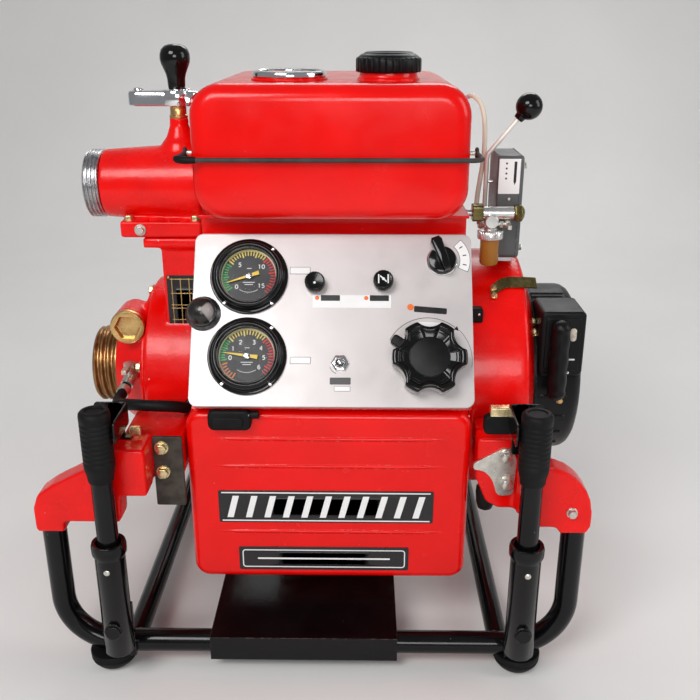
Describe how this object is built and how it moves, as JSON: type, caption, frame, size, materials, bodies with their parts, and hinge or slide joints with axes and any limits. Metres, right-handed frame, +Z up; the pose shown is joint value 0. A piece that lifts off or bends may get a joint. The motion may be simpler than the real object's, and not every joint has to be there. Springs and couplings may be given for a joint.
{
  "type": "portable fire pump",
  "caption": "Portable fire pump: a red engine-driven centrifugal pump in a black tube frame, with swing-out carrying handles, a control panel, a fuel tank and hose outlets.",
  "frame": {"origin": "on the floor, under the middle of the machine", "axes": "+X to the operator's right (recoil starter side), +Y to the back, +Z up; the operator stands on the -Y side"},
  "size_m": [0.614, 0.6178, 0.6645],
  "materials": {
    "black_tube": "gloss",
    "foot_rubber": "matte",
    "red_paint": "gloss",
    "zinc_plate": "zinc plated, satin",
    "ceramic": "glazed",
    "cast_alloy": "as cast, satin",
    "muffler_steel": "heat-resistant matte",
    "black_paint": "satin",
    "machined_steel": "machined",
    "bronze": "cast bronze",
    "brass": "machined",
    "chrome": "polished",
    "black_plastic": "moulded, fine grain",
    "panel_white": "satin silver-white",
    "battery_plastic": "moulded",
    "grey_paint": "satin",
    "black_rubber": "matte",
    "needle_yellow": "satin",
    "pulley_nylon": "moulded nylon"
  },
  "bodies": {
    "frame": {"front_frame_tube": "black_tube", "rear_frame_tube": "black_tube", "floor_rails": "black_tube", "base_tray": "black_tube", "rubber_feet": "foot_rubber", "mounting_arms": "red_paint", "bolted_plates": "zinc_plate", "crankcase": "red_paint", "cylinder_block": "red_paint", "spark_plugs": "ceramic", "carburettor": "cast_alloy", "muffler": "muffler_steel", "starter_motor": "black_paint", "shaft_bearings": "machined_steel", "pump_casing": "red_paint", "suction_cover": "red_paint", "suction_fitting": "bronze", "priming_plug": "brass", "drain_cock": "chrome", "discharge_body": "red_paint", "discharge_outlet": "cast_alloy", "fuel_tank": "red_paint", "fuel_level_gauge": "black_plastic", "control_panel": "panel_white", "panel_housing": "red_paint", "gauge_cases": "black_plastic", "panel_lamp": "chrome", "front_cover": "red_paint", "battery": "battery_plastic", "recoil_housing": "black_plastic", "vacuum_pump": "cast_alloy", "belt_guard": "grey_paint", "fuel_cock": "cast_alloy", "hoses": "black_rubber", "tank_strap": "black_rubber"},
    "handle_front_left": {"sleeve_front_left": "black_tube"},
    "grip_front_left": {"grip_front_left": "black_rubber"},
    "handle_front_right": {"sleeve_front_right": "black_tube"},
    "grip_front_right": {"grip_front_right": "black_rubber"},
    "handle_rear_left": {"sleeve_rear_left": "black_tube"},
    "grip_rear_left": {"grip_rear_left": "black_rubber"},
    "handle_rear_right": {"sleeve_rear_right": "black_tube"},
    "grip_rear_right": {"grip_rear_right": "black_rubber"},
    "rotor": {"crankshaft": "machined_steel", "impeller": "bronze"},
    "discharge_valve": {"valve_plug": "brass", "discharge_lever": "chrome"},
    "cap": {"fuel_cap": "black_plastic"},
    "pressure_pointer": {"pressure_needle": "needle_yellow"},
    "vacuum_pointer": {"vacuum_needle": "needle_yellow"},
    "throttle": {"throttle_dial": "black_plastic"},
    "main_switch": {"switch_knob": "black_plastic"},
    "choke": {"choke_knob": "black_plastic"},
    "tickler": {"tickler_knob": "black_plastic"},
    "light_switch": {"light_toggle": "chrome"},
    "primer_lever": {"vacuum_lever": "chrome"},
    "drain_tap": {"drain_lever": "chrome"},
    "fuel_tap": {"fuel_cock_lever": "chrome"},
    "pull_handle": {"recoil_handle": "black_plastic"},
    "rope_pulley": {"recoil_pulley": "pulley_nylon"}
  },
  "joints": [
    {"name": "handle_swing_front_left", "type": "hinge", "parent": "frame", "child": "handle_front_left", "pos_m": [-0.211, -0.29, 0.078], "axis": [0, -1, 0], "range_deg": [0, 90]},
    {"name": "grip_slide_front_left", "type": "slide", "parent": "handle_front_left", "child": "grip_front_left", "axis": [0, 0, 1], "range_m": [0, 0.06]},
    {"name": "handle_swing_front_right", "type": "hinge", "parent": "frame", "child": "handle_front_right", "pos_m": [0.224, -0.29, 0.078], "axis": [0, 1, 0], "range_deg": [0, 90]},
    {"name": "grip_slide_front_right", "type": "slide", "parent": "handle_front_right", "child": "grip_front_right", "axis": [0, 0, 1], "range_m": [0, 0.06]},
    {"name": "handle_swing_rear_left", "type": "hinge", "parent": "frame", "child": "handle_rear_left", "pos_m": [-0.211, 0.29, 0.078], "axis": [0, -1, 0], "range_deg": [0, 90]},
    {"name": "grip_slide_rear_left", "type": "slide", "parent": "handle_rear_left", "child": "grip_rear_left", "axis": [0, 0, 1], "range_m": [0, 0.06]},
    {"name": "handle_swing_rear_right", "type": "hinge", "parent": "frame", "child": "handle_rear_right", "pos_m": [0.224, 0.29, 0.078], "axis": [0, 1, 0], "range_deg": [0, 90]},
    {"name": "grip_slide_rear_right", "type": "slide", "parent": "handle_rear_right", "child": "grip_rear_right", "axis": [0, 0, 1], "range_m": [0, 0.06]},
    {"name": "rotor_spin", "type": "hinge", "parent": "frame", "child": "rotor", "pos_m": [0, -0.02, 0.275], "axis": [1, 0, 0], "continuous": true},
    {"name": "discharge_valve_turn", "type": "hinge", "parent": "frame", "child": "discharge_valve", "pos_m": [-0.155, -0.06, 0.6], "axis": [0, 0, 1], "range_deg": [0, 90]},
    {"name": "cap_turn", "type": "hinge", "parent": "frame", "child": "cap", "pos_m": [0.079, -0.09, 0.645], "axis": [0, 0, 1], "range_deg": [0, 360]},
    {"name": "pressure_pointer_turn", "type": "hinge", "parent": "frame", "child": "pressure_pointer", "pos_m": [-0.07, -0.16155, 0.43083], "axis": [0, -0.8434, 0.5373], "range_deg": [-240, 40], "stiffness_Nm_per_rad": 0.0002},
    {"name": "vacuum_pointer_turn", "type": "hinge", "parent": "frame", "child": "vacuum_pointer", "pos_m": [-0.0695, -0.20867, 0.35686], "axis": [0, -0.8434, 0.5373], "range_deg": [-220, 60], "stiffness_Nm_per_rad": 0.0002},
    {"name": "throttle_turn", "type": "hinge", "parent": "frame", "child": "throttle", "pos_m": [0.122, -0.20872, 0.3512], "axis": [0, -0.8434, 0.5373], "range_deg": [-150, 0]},
    {"name": "main_switch_turn", "type": "hinge", "parent": "frame", "child": "main_switch", "pos_m": [0.138, -0.14934, 0.4444], "axis": [0, -0.8434, 0.5373], "range_deg": [-90, 0]},
    {"name": "choke_pull", "type": "slide", "parent": "frame", "child": "choke", "axis": [0, -0.8434, 0.5373], "range_m": [0, 0.02]},
    {"name": "tickler_pull", "type": "slide", "parent": "frame", "child": "tickler", "axis": [0, -0.8434, 0.5373], "range_m": [0, 0.015], "stiffness_N_per_m": 150, "springref_m": -0.005},
    {"name": "light_switch_flick", "type": "hinge", "parent": "frame", "child": "light_switch", "pos_m": [0.029, -0.21006, 0.3491], "axis": [1, 0, 0], "range_deg": [-15, 15]},
    {"name": "primer_lever_pull", "type": "hinge", "parent": "frame", "child": "primer_lever", "pos_m": [0.194, -0.055, 0.47], "axis": [1, 0, 0], "range_deg": [0, 50]},
    {"name": "drain_tap_turn", "type": "hinge", "parent": "frame", "child": "drain_tap", "pos_m": [-0.223, -0.11, 0.3065], "axis": [0, 0, 1], "range_deg": [-90, 0]},
    {"name": "fuel_tap_turn", "type": "hinge", "parent": "frame", "child": "fuel_tap", "pos_m": [0.2145, -0.098, 0.4745], "axis": [1, 0, 0], "range_deg": [0, 90]},
    {"name": "starter_pull", "type": "slide", "parent": "frame", "child": "pull_handle", "axis": [0, -1, 0], "range_m": [0, 0.45], "stiffness_N_per_m": 25, "springref_m": -0.1},
    {"name": "rope_pulley_turn", "type": "hinge", "parent": "frame", "child": "rope_pulley", "pos_m": [0.276, -0.02, 0.275], "axis": [1, 0, 0], "range_deg": [0, 520]}
  ],
  "couplings": [
    {"joint": "rope_pulley_turn", "follows": "starter_pull", "rad_per_m": 19.608}
  ]
}
